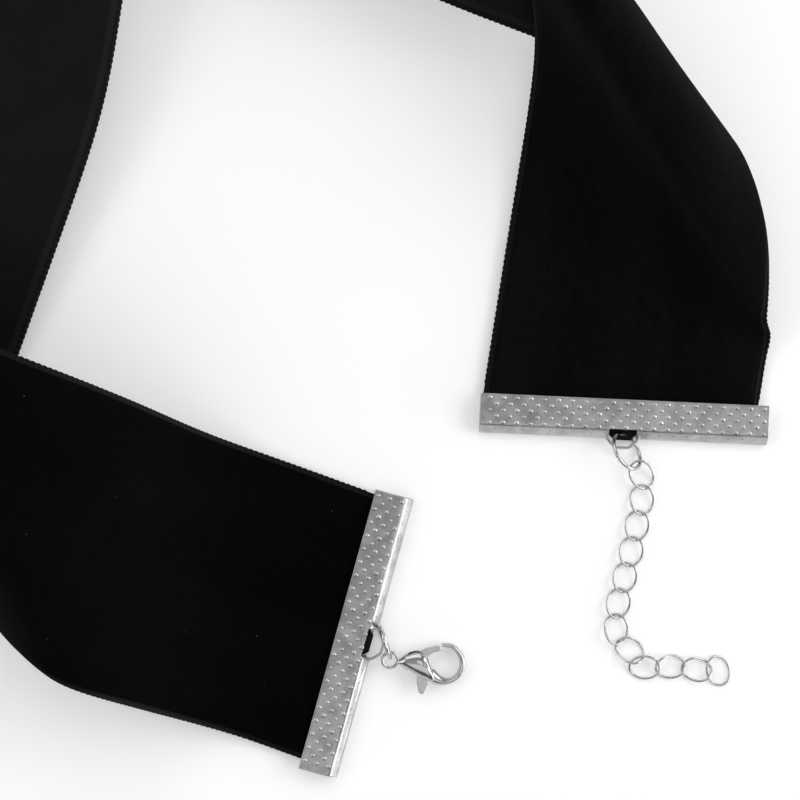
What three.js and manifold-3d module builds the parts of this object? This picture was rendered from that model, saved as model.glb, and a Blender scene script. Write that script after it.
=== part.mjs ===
// Wide velvet choker necklace, lying open on a table: a ribbon band with a metal ribbon clamp on
// each end, a lobster clasp on one clamp and an extender chain on the other.
// Millimetres, +Z up. The ribbon is bent only by folding it about straight lines, as cloth bends.
import * as THREE from 'three';
import { mergeVertices } from 'three/addons/utils/BufferGeometryUtils.js';
import Module from 'manifold-3d';

const wasm = await Module();
wasm.setup();

// ---- driving sizes, mm ----
const BAND = {
  width: 38, // ribbon width
  wall: 1.0, // velvet pile and satin backing together
  length: 296, // from one clamp mouth to the other
  tucked: 3.6, // how far each end goes into its clamp
  step: 2.25, // spacing of the cross lines of the mesh
  rows: 8, // strips across the width
  lift: 20, // extra height of the outer edge where the band turns at the back of the neck
  turnFrom: 120, // the turn at the back, measured along the band
  turnTo: 210,
  easeFrom: 88, // from here on, measured from either clamp, creases at the back are evened out
  easeTo: 118,
  easing: 6, // rounds of evening out
};
const CLAMP = {
  length: 40,
  width: 5.5,
  height: 2.4,
  sheet: 0.45,
  spineHeight: 1.0, // upright part of the closed side, below the bevel
  bevel: 1.3, // width of the bevel in plan
  windowLength: 4.0,
  windowInTop: 1.3, // how far the window reaches into the top plate
  windowInBottom: 0.7,
};
const BAIL = {
  reach: 1.4, // how far the loop stands out from the closed side
  rootHalf: 2.0, // inner half width at the clamp
  tipHalf: 1.0, // inner half width at the outer end
  strap: 0.4,
  low: 1.0, // underside and top of the strap above the table
  high: 1.8,
  rooted: 0.75, // how far the strap's ends run into the clamp's wall
};
const CHAIN_RING = { radius: 2.65, wire: 0.55 };
const CLASP_RING = { radius: 2.28, wire: 0.55 };
const LINK = {
  halfLength: 2.07, // centre line of the wire
  halfWidth: 1.57,
  wire: 0.36,
  twist: 0.36, // how far the wire rises and falls between a link's corners
  clear: 0.54, // height between two wires where they cross
  lowest: 0.2, // of a wire's centre line above the table
  hangs: 1.7, // height at which the first link hangs on its ring
};
const CLASP = {
  slot: 1.2, // room for the lever
  pinRadius: 0.3,
  pinLength: 2.2,
  eyeRadius: 1.06, // centre line of the eye at the tail
  eyeWire: 0.45,
};
const LEVER = { thickness: 0.8, boreRadius: 0.45 };

// ---- how the ribbon leaves each clamp ----
// x, y: middle of the clamp's mouth. heading: the way the ribbon leaves it, degrees from +X.
// shift: how far the ribbon sits off the clamp's middle. side: which hand the inner edge is on.
// folds, a row for each section: at = mm from the mouth, bend = degrees per mm,
// slant = angle of the fold lines from the ribbon's direction, degrees.
const LEFT_END = {
  x: -8.9, y: -32.4, heading: 160, shift: 1.0, side: -1,
  folds: [
    { at: 4, bend: 0, slant: 84 },
    { at: 15, bend: -4, slant: 75 },
    { at: 30, bend: 0, slant: 75 },
    { at: 45, bend: 3.5, slant: 60 },
    { at: 60, bend: 3.6, slant: 43 },
    { at: 80, bend: 2.4, slant: 44 },
    { at: 100, bend: 3.4, slant: 42 },
    { at: 120, bend: 0, slant: 40 },
  ],
};
const RIGHT_END = {
  x: 31.2, y: 0.2, heading: 81, shift: 0.5, side: 1,
  folds: [
    { at: 3, bend: 0, slant: 95 },
    { at: 14, bend: -0.5, slant: 70 },
    { at: 26, bend: -5, slant: 50 },
    { at: 36, bend: -4, slant: 39 },
    { at: 48, bend: 12, slant: 31 },
    { at: 60, bend: 3.5, slant: 40 },
    { at: 80, bend: 1.7, slant: 32 },
    { at: 100, bend: 2.6, slant: 25 },
    { at: 120, bend: 0, slant: 30 },
  ],
};
const CHAIN_STEP = 1.0; // spacing of the fold lines
const CHAIN_REACH = 230; // each run of fold lines is worked out this far
const CLAMP_MID = 1.2; // height of the ribbon's middle in the clamp

// mouth: direction the open side faces, degrees from +X. bail: offset of the loop along the clamp.
const LEFT_CLAMP = { x: -8.7, y: -31.7, mouth: 164.5, bail: 0.8 };
const RIGHT_CLAMP = { x: 31.2, y: 0.1, mouth: 87.4, bail: 0.1 };

const METAL = { colour: 0xb4b4b2, roughness: 0.32, metalness: 1 };
const BRIGHT = { colour: 0xd6d6d4, roughness: 0.16, metalness: 1 };
const VELVET = { colour: 0x0b0b0c, roughness: 0.95, metalness: 0 };

const radians = THREE.MathUtils.degToRad;
const flatDirection = (degrees) =>
  new THREE.Vector3(Math.cos(radians(degrees)), Math.sin(radians(degrees)), 0);

// ---- small helpers ----
function material({ colour, roughness, metalness }) {
  return new THREE.MeshStandardMaterial({ color: colour, roughness, metalness });
}

function namedMesh(name, geometry, looks) {
  const mesh = new THREE.Mesh(geometry, material(looks));
  mesh.name = name;
  return mesh;
}

// Value of column `key` at `at`, in straight lines between the rows.
function fromRows(rows, key, at) {
  if (at <= rows[0].at) return rows[0][key];
  for (let i = 1; i < rows.length; i++) {
    const before = rows[i - 1];
    const after = rows[i];
    if (at <= after.at) {
      const part = (at - before.at) / (after.at - before.at);
      return before[key] + (after[key] - before[key]) * part;
    }
  }
  return rows[rows.length - 1][key];
}

// 0 to 1 with no corner at either end.
function smoothStep(value, from, to) {
  const t = THREE.MathUtils.clamp((value - from) / (to - from), 0, 1);
  return t * t * t * (t * (6 * t - 15) + 10);
}

function solidFrom(geometry) {
  const bare = geometry.clone();
  bare.deleteAttribute('normal');
  bare.deleteAttribute('uv');
  const merged = mergeVertices(bare, 1e-4);
  return new wasm.Manifold(new wasm.Mesh({
    numProp: 3,
    vertProperties: new Float32Array(merged.attributes.position.array),
    triVerts: new Uint32Array(merged.index.array),
  }));
}

function geometryFrom(solid) {
  const mesh = solid.getMesh();
  const geometry = new THREE.BufferGeometry();
  geometry.setAttribute('position', new THREE.BufferAttribute(mesh.vertProperties, 3));
  geometry.setIndex(new THREE.BufferAttribute(mesh.triVerts, 1));
  geometry.computeVertexNormals();
  return geometry;
}

function plate(points, thickness) {
  const shape = new THREE.Shape(points.map(([x, y]) => new THREE.Vector2(x, y)));
  return new THREE.ExtrudeGeometry(shape, { depth: thickness, bevelEnabled: false });
}

// ---- ribbon ----
// The fold lines of the ribbon from one clamp: each holds its place along the band, a point on
// the centre line, the direction of the band, the direction across it and the slope of the line.
function foldLines(end) {
  const along = flatDirection(end.heading);
  const face = new THREE.Vector3(0, 0, 1);
  const middle = new THREE.Vector3(end.x, end.y, CLAMP_MID);
  middle.addScaledVector(flatDirection(end.heading + end.side * 90), end.shift);
  const lines = [];
  const inner = () => new THREE.Vector3().crossVectors(face, along).multiplyScalar(end.side);
  for (let at = -BAND.tucked - CHAIN_STEP; at < 0; at += CHAIN_STEP) {
    lines.push({
      at,
      middle: middle.clone().addScaledVector(along, at),
      along: along.clone(),
      across: inner(),
      slope: 1 / Math.tan(radians(end.folds[0].slant)),
    });
  }
  const last = end.folds[end.folds.length - 1];
  for (let at = CHAIN_STEP / 2; at < CHAIN_REACH; at += CHAIN_STEP) {
    const bend = at > last.at ? 0 : fromRows(end.folds, 'bend', at);
    const slant = radians(fromRows(end.folds, 'slant', at));
    middle.addScaledVector(along, CHAIN_STEP / 2);
    const axis = inner().multiplyScalar(Math.sin(slant)).addScaledVector(along, Math.cos(slant));
    const turn = end.side * radians(bend) * CHAIN_STEP;
    along.applyAxisAngle(axis, turn);
    face.applyAxisAngle(axis, turn);
    lines.push({
      at,
      middle: middle.clone(),
      along: along.clone(),
      across: inner(),
      slope: 1 / Math.tan(slant),
    });
    middle.addScaledVector(along, CHAIN_STEP / 2);
  }
  return lines;
}

// The place of a point of the ribbon: `at` mm from the mouth and `across` mm from the centre line.
function pointOn(lines, at, across) {
  const onLine = (line) => line.middle.clone()
    .addScaledVector(line.across, across)
    .addScaledVector(line.along, across * line.slope);
  const place = (line) => line.at + across * line.slope;
  let low = 0;
  let high = lines.length - 1;
  while (high - low > 1) {
    const half = (low + high) >> 1;
    if (place(lines[half]) > at) high = half;
    else low = half;
  }
  const from = lines[low];
  const to = lines[high];
  const part = (at - place(from)) / (place(to) - place(from));
  return onLine(from).lerp(onLine(to), part);
}

// The two runs meet at the back, where the band turns and its outer edge stands up.
function bandPoint(left, right, at, across) {
  const share = smoothStep(at, BAND.turnFrom, BAND.turnTo);
  const point = pointOn(left, at, across).lerp(pointOn(right, BAND.length - at, across), share);
  const fromInner = across / BAND.width + 0.5;
  point.z += BAND.lift * 4 * share * (1 - share) * fromInner;
  return point;
}

// How much the cross lines of the mesh slant, so that they follow the fold lines in front and
// run straight across at the back.
const SLANT_TO = 100; // the cross lines follow the folds this far from each clamp
const SQUARE_OVER = 50; // and the slant dies away over this distance
function crossSlope(left, right, at) {
  const atEnd = (lines, distance) => {
    const near = lines.find((line) => line.at >= Math.min(distance, SLANT_TO)) ?? lines[0];
    const fade = 1 - THREE.MathUtils.clamp((distance - SLANT_TO) / SQUARE_OVER, 0, 1);
    return near.slope * fade;
  };
  const fromRight = BAND.length - at;
  return at < fromRight ? atEnd(left, at) : -atEnd(right, fromRight);
}

function bandGrid() {
  const left = foldLines(LEFT_END);
  const right = foldLines(RIGHT_END);
  const total = BAND.length + 2 * BAND.tucked;
  const columns = Math.round(total / BAND.step);
  const grid = [];
  for (let i = 0; i <= columns; i++) {
    const at = -BAND.tucked + (total * i) / columns;
    const slope = crossSlope(left, right, at);
    const column = [];
    for (let j = 0; j <= BAND.rows; j++) {
      const across = BAND.width * (j / BAND.rows - 0.5);
      column.push(bandPoint(left, right, at + across * slope, across));
    }
    grid.push(column);
  }
  easeBack(grid, (i) => -BAND.tucked + (total * i) / columns);
  return grid;
}

// Evens out the small creases where the two runs of folds meet at the back.
function easeBack(grid, placeOf) {
  for (let round = 0; round < BAND.easing; round++) {
    const before = grid.map((column) => column.map((point) => point.clone()));
    for (let i = 1; i < grid.length - 1; i++) {
      const hidden = smoothStep(placeOf(i), BAND.easeFrom, BAND.easeTo)
        * smoothStep(BAND.length - placeOf(i), BAND.easeFrom, BAND.easeTo);
      grid[i].forEach((point, j) => {
        const between = before[i - 1][j].clone().lerp(before[i + 1][j], 0.5);
        point.lerp(between, hidden * 0.5);
      });
    }
  }
}

// A closed wall of even thickness round a grid of middle points.
function wallGeometry(grid, wall) {
  const columns = grid.length;
  const rows = grid[0].length;
  const clampTo = (value, most) => Math.min(Math.max(value, 0), most);
  const positions = [];
  for (const side of [0.5, -0.5]) {
    for (let i = 0; i < columns; i++) {
      for (let j = 0; j < rows; j++) {
        const along = grid[clampTo(i + 1, columns - 1)][j].clone()
          .sub(grid[clampTo(i - 1, columns - 1)][j]);
        const across = grid[i][clampTo(j + 1, rows - 1)].clone()
          .sub(grid[i][clampTo(j - 1, rows - 1)]);
        const normal = along.cross(across).normalize();
        const point = grid[i][j].clone().addScaledVector(normal, side * wall);
        positions.push(point.x, point.y, point.z);
      }
    }
  }
  const upper = (i, j) => i * rows + j;
  const lower = (i, j) => columns * rows + i * rows + j;
  const triangles = [];
  const quad = (a, b, c, d) => triangles.push(a, b, c, a, c, d);
  for (let i = 0; i < columns - 1; i++) {
    for (let j = 0; j < rows - 1; j++) {
      quad(upper(i, j), upper(i + 1, j), upper(i + 1, j + 1), upper(i, j + 1));
      quad(lower(i, j), lower(i, j + 1), lower(i + 1, j + 1), lower(i + 1, j));
    }
    quad(upper(i, 0), lower(i, 0), lower(i + 1, 0), upper(i + 1, 0));
    const edge = rows - 1;
    quad(upper(i, edge), upper(i + 1, edge), lower(i + 1, edge), lower(i, edge));
  }
  for (let j = 0; j < rows - 1; j++) {
    quad(upper(0, j), upper(0, j + 1), lower(0, j + 1), lower(0, j));
    const end = columns - 1;
    quad(upper(end, j), lower(end, j), lower(end, j + 1), upper(end, j + 1));
  }
  const geometry = new THREE.BufferGeometry();
  geometry.setAttribute('position', new THREE.Float32BufferAttribute(positions, 3));
  geometry.setIndex(triangles);
  geometry.computeVertexNormals();
  return geometry;
}

function makeRibbon() {
  return namedMesh('ribbon', wallGeometry(bandGrid(), BAND.wall), VELVET);
}

// ---- clamps ----
// Drawn with the mouth at x = 0 facing +X and the closed side at x = -width.
function clampSheet() {
  const { width, height, sheet, spineHeight, bevel } = CLAMP;
  const section = [
    [0, 0], [0, sheet], [sheet - width, sheet], [sheet - width, spineHeight - sheet / 3],
    [sheet - width + bevel * 0.85, height - sheet], [0, height - sheet], [0, height],
    [bevel - width, height], [-width, spineHeight], [-width, 0],
  ];
  const geometry = plate(section, CLAMP.length);
  geometry.rotateX(Math.PI / 2);
  geometry.translate(0, CLAMP.length / 2, 0);
  return geometry;
}

function bailStrap() {
  const { reach, rootHalf, tipHalf, strap, rooted } = BAIL;
  const root = -CLAMP.width + rooted;
  const tip = -CLAMP.width - reach;
  const flare = (rootHalf - tipHalf) / (reach - strap);
  const inRoot = rootHalf + flare * rooted * 0.2;
  const outline = [
    [root, rootHalf + strap], [root, inRoot], [-CLAMP.width, rootHalf],
    [tip + strap, tipHalf], [tip + strap, -tipHalf], [-CLAMP.width, -rootHalf],
    [root, -inRoot], [root, -rootHalf - strap], [-CLAMP.width, -rootHalf - strap],
    [tip, -tipHalf - strap * 0.5], [tip, tipHalf + strap * 0.5],
    [-CLAMP.width, rootHalf + strap],
  ];
  const geometry = plate(outline, BAIL.high - BAIL.low);
  geometry.translate(0, 0, BAIL.low);
  return geometry;
}

// A block that cuts the window, from outside the closed side to `into` mm inside it.
function windowCutter(into, bail, height) {
  const outside = 2;
  const cutter = new THREE.BoxGeometry(into + outside, CLAMP.windowLength, CLAMP.height * 2);
  cutter.translate(-CLAMP.width + (into - outside) / 2, bail, height);
  return cutter;
}

function makeClamp(name, { x, y, mouth, bail }) {
  const cutTop = windowCutter(CLAMP.windowInTop, bail, CLAMP.height + CLAMP.sheet * 1.2);
  const cutBottom = windowCutter(CLAMP.windowInBottom, bail, 0);
  const strap = bailStrap();
  strap.translate(0, bail, 0);
  const solid = solidFrom(clampSheet())
    .subtract(solidFrom(cutTop))
    .subtract(solidFrom(cutBottom))
    .add(solidFrom(strap));
  const mesh = namedMesh(name, geometryFrom(solid), METAL);
  mesh.rotation.z = radians(mouth);
  mesh.position.set(x, y, 0);
  return mesh;
}

// ---- jump rings ----
// In both directions Z is how far the ring rises for each mm it goes sideways.
// `long` and `low` are the directions of the ring's long axis and of its lower side.
function makeRing(name, { radius, wire }, centre, long, low) {
  const geometry = new THREE.TorusGeometry(radius, wire / 2, 10, 44);
  const first = long.clone().normalize();
  const second = low.clone().addScaledVector(first, -low.dot(first)).normalize();
  const normal = new THREE.Vector3().crossVectors(first, second);
  const turn = new THREE.Matrix4().makeBasis(first, second, normal);
  const mesh = namedMesh(name, geometry, BRIGHT);
  mesh.quaternion.setFromRotationMatrix(turn);
  mesh.position.copy(centre);
  return mesh;
}

function makeChainRing() {
  const long = flatDirection(-45).setZ(-0.274);
  const low = flatDirection(45).setZ(-1.28);
  return makeRing('jump_ring_chain', CHAIN_RING, new THREE.Vector3(31.4, -7.1, 2.4), long, low);
}

function makeClaspRing() {
  const long = flatDirection(-71.6);
  const low = new THREE.Vector3(0, 0, -1);
  return makeRing('jump_ring_clasp', CLASP_RING, new THREE.Vector3(-2.04, -33.45, 2.56), long, low);
}

// ---- chain ----
// x, y: middle of the link. heading: direction of its long axis, degrees from +X.
const LINKS = [
  { x: 33.6, y: -10.4, heading: -62 },
  { x: 33.7, y: -13.9, heading: -88 },
  { x: 33.0, y: -17.5, heading: -100 },
  { x: 32.2, y: -21.1, heading: -103 },
  { x: 31.3, y: -24.7, heading: -103 },
  { x: 30.4, y: -28.3, heading: -104 },
  { x: 30.1, y: -31.9, heading: -88 },
  { x: 32.0, y: -34.8, heading: -36 },
  { x: 34.0, y: -37.2, heading: -4 },
  { x: 37.6, y: -37.1, heading: 2 },
  { x: 41.3, y: -37.5, heading: -12 },
  { x: 44.3, y: -37.7, heading: -75 },
];
const SETTLE_ROUNDS = 300;

// A link's pose is four numbers: the height of its middle, the rise of its far end, the rise of
// its right side and its twist. These are their shares in the height at an angle round the wire.
const poseShares = (angle) => [1, Math.cos(angle), Math.sin(angle), Math.sin(2 * angle)];

function wireHeight(pose, angle) {
  const shares = poseShares(angle);
  return pose.reduce((height, value, k) => height + value * shares[k], 0);
}

function pushPose(pose, shares, amount) {
  shares.forEach((share, k) => {
    pose[k] += share * amount;
  });
}

const squared = (shares) => shares.reduce((sum, share) => sum + share * share, 0);

// The two places where the wires of neighbouring links cross, seen from above, as the angle round
// each. The one on the right hand comes first.
function wireCrossings(link, next) {
  const samples = 240;
  const middle = new THREE.Vector3(next.x - link.x, next.y - link.y, 0);
  const at = (k) => {
    const angle = (2 * Math.PI * k) / samples;
    const point = flatDirection(link.heading).multiplyScalar(LINK.halfLength * Math.cos(angle))
      .addScaledVector(flatDirection(link.heading - 90), LINK.halfWidth * Math.sin(angle))
      .sub(middle);
    const far = point.dot(flatDirection(next.heading)) / LINK.halfLength;
    const right = point.dot(flatDirection(next.heading - 90)) / LINK.halfWidth;
    return { angle, other: Math.atan2(right, far), inside: Math.hypot(far, right) < 1 };
  };
  const found = [];
  for (let k = 0; k < samples; k++) {
    if (at(k).inside !== at(k + 1).inside) found.push(at(k));
  }
  return found.sort((a, b) => Math.sin(b.angle) - Math.sin(a.angle));
}

function liftOffTable(pose) {
  const samples = 24;
  let lowest = 0;
  for (let k = 1; k < samples; k++) {
    const angle = (2 * Math.PI * k) / samples;
    if (wireHeight(pose, angle) < wireHeight(pose, lowest)) lowest = angle;
  }
  const short = LINK.lowest - wireHeight(pose, lowest);
  if (short > 0) pushPose(pose, poseShares(lowest), short / squared(poseShares(lowest)));
}

// The chain sinks onto the table, while every link is tilted until its wire clears its
// neighbour's: over it on the right hand and under it on the left.
function settledPoses() {
  const resting = LINK.lowest + LINK.twist / 2;
  const poses = LINKS.map(() => [resting, 0, 0, LINK.twist]);
  poses[0] = [(LINK.hangs + resting) / 2, (resting - LINK.hangs) / 2, 0, LINK.twist];
  const crossings = LINKS.slice(1).map((next, i) => wireCrossings(LINKS[i], next));
  for (let round = 0; round < SETTLE_ROUNDS; round++) {
    const sink = 0.01 * (1 - round / SETTLE_ROUNDS);
    poses.slice(1).forEach((pose) => {
      pose[0] -= sink;
    });
    crossings.forEach((pair, i) => pair.forEach(({ angle, other }, k) => {
      const over = k === 0 ? 1 : -1;
      const gap = over * (wireHeight(poses[i], angle) - wireHeight(poses[i + 1], other));
      if (gap >= LINK.clear) return;
      const own = i === 0 ? [0, 0, 0, 0] : poseShares(angle); // the first link hangs still
      const push = (over * (LINK.clear - gap)) / (squared(own) + squared(poseShares(other)));
      pushPose(poses[i], own, push);
      pushPose(poses[i + 1], poseShares(other), -push);
    }));
    poses.forEach(liftOffTable);
  }
  return poses;
}

class LinkCurve extends THREE.Curve {
  constructor(pose) {
    super();
    this.pose = pose;
  }

  getPoint(part, target = new THREE.Vector3()) {
    const angle = part * Math.PI * 2;
    return target.set(
      LINK.halfLength * Math.cos(angle),
      -LINK.halfWidth * Math.sin(angle),
      wireHeight(this.pose, angle),
    );
  }
}

function makeLinks() {
  const poses = settledPoses();
  return LINKS.map((row, index) => {
    const geometry = new THREE.TubeGeometry(new LinkCurve(poses[index]), 30, LINK.wire / 2, 7, true);
    const name = `chain_link_${String(index + 1).padStart(2, '0')}`;
    const mesh = namedMesh(name, geometry, BRIGHT);
    mesh.rotation.z = radians(row.heading);
    mesh.position.set(row.x, row.y, 0);
    return mesh;
  });
}

// ---- lobster clasp ----
// Drawn flat with the lever's pin at the origin, the tail to -X and the hook to +X, then laid
// with the tail a little raised by the ring it hangs on.
const CLASP_PLACE = { x: 3.35, y: -36.54, z: 1.65, tailUp: 8 };
// Sections of the body and of the hook, from tail to tip: x, y is the middle of the section,
// half its half width and high its half height.
const BODY_SECTIONS = [
  { x: -3.95, y: 0.27, half: 0.24, high: 0.3 },
  { x: -3.4, y: 0.27, half: 0.5, high: 0.6 },
  { x: -2.65, y: 0.31, half: 1.08, high: 0.95 },
  { x: -1.53, y: 0.16, half: 1.72, high: 1.22 },
  { x: -0.56, y: -0.1, half: 2.05, high: 1.3 },
  { x: 0.1, y: -0.42, half: 2.02, high: 1.3 },
  { x: 0.49, y: -0.9, half: 1.73, high: 1.25 },
  { x: 0.98, y: -1.63, half: 1.15, high: 1.05 },
  { x: 1.5, y: -2.1, half: 0.7, high: 0.7 },
];
const HOOK_SECTIONS = [
  { x: 0.77, y: -1.6, half: 1.05, high: 0.9 },
  { x: 2.02, y: -2.34, half: 0.76, high: 0.88 },
  { x: 3.42, y: -2.5, half: 0.47, high: 0.85 },
  { x: 4.68, y: -1.8, half: 0.43, high: 0.8 },
  { x: 5.33, y: -0.6, half: 0.44, high: 0.78 },
  { x: 5.25, y: 0.72, half: 0.42, high: 0.76 },
  { x: 4.54, y: 1.8, half: 0.38, high: 0.74 },
  { x: 3.77, y: 2.37, half: 0.36, high: 0.7 },
  { x: 2.5, y: 2.57, half: 0.31, high: 0.62 },
];
// The lever's outline round its pin: the end that closes the hook, then down to the thumb tab.
const LEVER_OUTLINE = [
  [-0.45, 1.85], [0.84, 2.3], [2.05, 2.45], [2.3, 2.1], [2.32, 1.8], [1.12, 1.5], [0.62, 1.0],
  [0.8, 0.3], [0.75, -0.4], [0.5, -1.4], [0.5, -2.7], [0.3, -3.2], [-0.1, -4.05], [-0.49, -4.18],
  [-0.8, -3.9], [-0.95, -3.2], [-1.05, -2.2], [-0.85, -1.0], [-0.9, 0], [-0.75, 0.9],
];
const EYE = { x: -4.77, y: 0.56 };
const SLOT = { from: -2.3, to: 1.15, across: 8 }; // reach of the lever's slot, round the pin

// A solid bar through oval sections, closed at both ends. `square` keeps every section square
// to the X axis instead of to the bar's own run.
function sweptBar(sections, { square }) {
  const around = 20;
  const between = 3;
  const course = new THREE.CatmullRomCurve3(
    sections.map(({ x, y, half }) => new THREE.Vector3(x, y, half)));
  const heights = new THREE.CatmullRomCurve3(
    sections.map(({ high }, i) => new THREE.Vector3(i, high, 0)));
  const count = (sections.length - 1) * between;
  const positions = [];
  const triangles = [];
  for (let i = 0; i <= count; i++) {
    const place = course.getPoint(i / count);
    const high = heights.getPoint(i / count).y;
    const run = course.getTangent(i / count).setZ(0).normalize();
    const across = square ? new THREE.Vector3(0, 1, 0) : new THREE.Vector3(-run.y, run.x, 0);
    for (let k = 0; k < around; k++) {
      const angle = (k / around) * Math.PI * 2;
      const out = place.z * Math.cos(angle);
      positions.push(place.x + across.x * out, place.y + across.y * out, high * Math.sin(angle));
    }
  }
  for (let i = 0; i < count; i++) {
    for (let k = 0; k < around; k++) {
      const next = (k + 1) % around;
      const a = i * around + k;
      const b = i * around + next;
      triangles.push(a, b, b + around, a, b + around, a + around);
    }
  }
  for (const [start, flip] of [[0, true], [count * around, false]]) {
    for (let k = 1; k < around - 1; k++) {
      const fan = [start, start + k, start + k + 1];
      triangles.push(...(flip ? fan.reverse() : fan));
    }
  }
  const geometry = new THREE.BufferGeometry();
  geometry.setAttribute('position', new THREE.Float32BufferAttribute(positions, 3));
  geometry.setIndex(triangles);
  return geometry;
}

function makeClaspBody() {
  const body = sweptBar(BODY_SECTIONS, { square: true });
  const hook = sweptBar(HOOK_SECTIONS, { square: false });
  const slot = new THREE.BoxGeometry(SLOT.to - SLOT.from, SLOT.across, CLASP.slot);
  slot.translate((SLOT.to + SLOT.from) / 2, 0, 0);
  const pin = new THREE.CylinderGeometry(CLASP.pinRadius, CLASP.pinRadius, CLASP.pinLength, 16);
  pin.rotateX(Math.PI / 2);
  const eye = new THREE.TorusGeometry(CLASP.eyeRadius, CLASP.eyeWire / 2, 8, 28);
  eye.translate(EYE.x, EYE.y, 0);
  const solid = solidFrom(body)
    .add(solidFrom(hook))
    .subtract(solidFrom(slot))
    .add(solidFrom(pin))
    .add(solidFrom(eye));
  return namedMesh('clasp_body', geometryFrom(solid), BRIGHT);
}

function makeClaspLever() {
  const outline = plate(LEVER_OUTLINE, LEVER.thickness);
  outline.translate(0, 0, -LEVER.thickness / 2);
  const bore = new THREE.CylinderGeometry(LEVER.boreRadius, LEVER.boreRadius,
    LEVER.thickness * 2, 16);
  bore.rotateX(Math.PI / 2);
  const solid = solidFrom(outline).subtract(solidFrom(bore));
  return namedMesh('clasp_lever', geometryFrom(solid), BRIGHT);
}

function makeClasp() {
  const clasp = new THREE.Group();
  clasp.name = 'clasp';
  clasp.add(makeClaspBody(), makeClaspLever());
  clasp.rotation.y = radians(CLASP_PLACE.tailUp);
  clasp.position.set(CLASP_PLACE.x, CLASP_PLACE.y, CLASP_PLACE.z);
  return clasp;
}

// ---- assembly ----
function assemble() {
  const claspEnd = new THREE.Group();
  claspEnd.name = 'clasp_end';
  claspEnd.add(makeClamp('clamp_left', LEFT_CLAMP), makeClaspRing(), makeClasp());
  const chainEnd = new THREE.Group();
  chainEnd.name = 'chain_end';
  chainEnd.add(makeClamp('clamp_right', RIGHT_CLAMP), makeChainRing(), ...makeLinks());
  const laid = new THREE.Group();
  laid.name = 'laid_out';
  laid.add(makeRibbon(), claspEnd, chainEnd);
  const box = new THREE.Box3().setFromObject(laid, true);
  const middle = box.getCenter(new THREE.Vector3());
  laid.position.set(-middle.x, -middle.y, -box.min.z);
  const choker = new THREE.Group();
  choker.name = 'choker_necklace';
  choker.add(laid);
  return choker;
}

export default assemble();
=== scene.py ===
import math

import bpy
import numpy as np
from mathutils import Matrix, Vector


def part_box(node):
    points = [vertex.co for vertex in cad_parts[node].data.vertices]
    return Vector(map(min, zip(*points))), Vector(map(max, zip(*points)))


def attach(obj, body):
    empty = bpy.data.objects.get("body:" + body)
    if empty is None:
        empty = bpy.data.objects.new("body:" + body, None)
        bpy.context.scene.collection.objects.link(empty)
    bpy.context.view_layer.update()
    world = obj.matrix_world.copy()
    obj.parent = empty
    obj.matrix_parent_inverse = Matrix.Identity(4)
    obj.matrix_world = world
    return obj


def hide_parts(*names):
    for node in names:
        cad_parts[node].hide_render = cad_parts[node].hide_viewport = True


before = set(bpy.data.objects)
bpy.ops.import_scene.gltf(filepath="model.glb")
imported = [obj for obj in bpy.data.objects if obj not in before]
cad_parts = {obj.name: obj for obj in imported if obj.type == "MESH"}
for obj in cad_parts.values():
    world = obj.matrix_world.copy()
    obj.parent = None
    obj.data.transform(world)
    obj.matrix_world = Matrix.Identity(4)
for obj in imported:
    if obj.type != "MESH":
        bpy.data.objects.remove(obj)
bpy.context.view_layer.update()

MM = 0.001
rng = np.random.default_rng(7)

# ---- sizes, mm ----
BAND_WIDTH = 38.0
BAND_LENGTH = 296.0
BAND_TUCKED = 3.6  # how far each end goes into its clamp
BAND_LIFT = 20.0  # extra height of the outer edge where the band turns at the back of the neck
TURN_FROM, TURN_TO = 120.0, 210.0  # the turn at the back, measured along the band
EASE_FROM, EASE_TO = 88.0, 118.0  # from here on, from either clamp, small creases are evened out
EASE_ROUNDS = 88
SLANT_TO, SQUARE_OVER = 100.0, 50.0  # cross lines follow the folds so far, then turn square
BAND_COLUMNS, PILE_ROWS = 520, 40
PILE_STANDS, EDGE_SINKS, BACKING = 0.4, 0.12, 0.42  # from the ribbon's middle surface
CLOTH_SWAY = 0.07  # of the slight waves in the cloth
LOOP_PITCH, LOOP_HALF_LONG, LOOP_HALF_THICK = 0.8, 0.33, 0.1  # the thread loops on the edges
CLAMP_LENGTH, CLAMP_WIDTH, CLAMP_HEIGHT, SHEET = 40.0, 5.5, 2.4, 0.42
SPINE_HEIGHT, BEVEL_WIDTH = 1.0, 1.25  # the upright closed side, and the bevel over it
WINDOW = 4.0
WINDOW_IN_TOP, WINDOW_IN_BOTTOM = 1.3, 0.6  # how far it reaches in from the closed side
BAIL_LOW, BAIL_HIGH, BAIL_STRAP = 1.02, 1.78, 0.34
DOT_PITCH, DOT_ROWS, DOT_ROW_STEP, DOT_HEIGHT = 1.9, 5, 0.85, 0.118
CORNER_ROUND = 0.07
LINK_HALF_LENGTH, LINK_HALF_WIDTH, LINK_WIRE = 2.07, 1.57, 0.36
LINK_TWIST = 0.36  # how far the wire rises and falls between a link's corners
LINK_CLEAR = 0.54  # height between two wires where they cross
LINK_LOWEST = 0.2  # of a wire's centre line above the table
LINK_HANGS = 1.7  # height at which the first link hangs on its ring
SETTLE_ROUNDS = 300
CROSSING_STEPS, TABLE_STEPS = 240, 24  # places tried round a wire

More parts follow.
